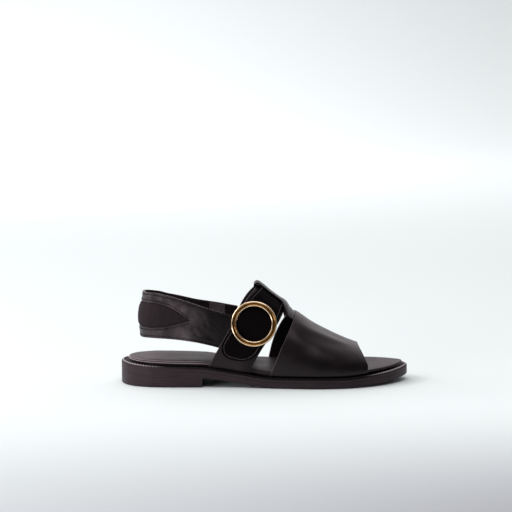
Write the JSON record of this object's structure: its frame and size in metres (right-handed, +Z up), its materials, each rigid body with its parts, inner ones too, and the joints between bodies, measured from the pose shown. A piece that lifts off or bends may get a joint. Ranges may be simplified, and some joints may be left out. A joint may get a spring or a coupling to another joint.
{
  "type": "leather sandal",
  "caption": "Flat open-toed slingback sandal for the right foot: padded footbed on a welted sole, wide vamp, instep strap with a round buckle, heel strap with elastic gore.",
  "frame": {"origin": "middle of the sole's length and width, on the floor", "axes": "+X from the heel to the toe, +Y from the outer to the inner side of the foot, +Z up"},
  "size_m": [0.264, 0.0926, 0.0933],
  "materials": {
    "sole_leather": "matt dyed edge",
    "welt_leather": "matt, stitched",
    "footbed_leather": "satin, padded",
    "upper_leather": "semi-gloss black calf",
    "strap_leather": "glossy black",
    "elastic": "matt woven elastic",
    "gold_metal": "polished gold plate"
  },
  "bodies": {
    "root": {"outsole": "sole_leather", "heel": "sole_leather", "welt": "welt_leather", "footbed": "footbed_leather", "upper": "upper_leather", "closing_strap": "strap_leather", "heel_gore": "elastic", "ring_buckle": "gold_metal"}
  },
  "joints": []
}
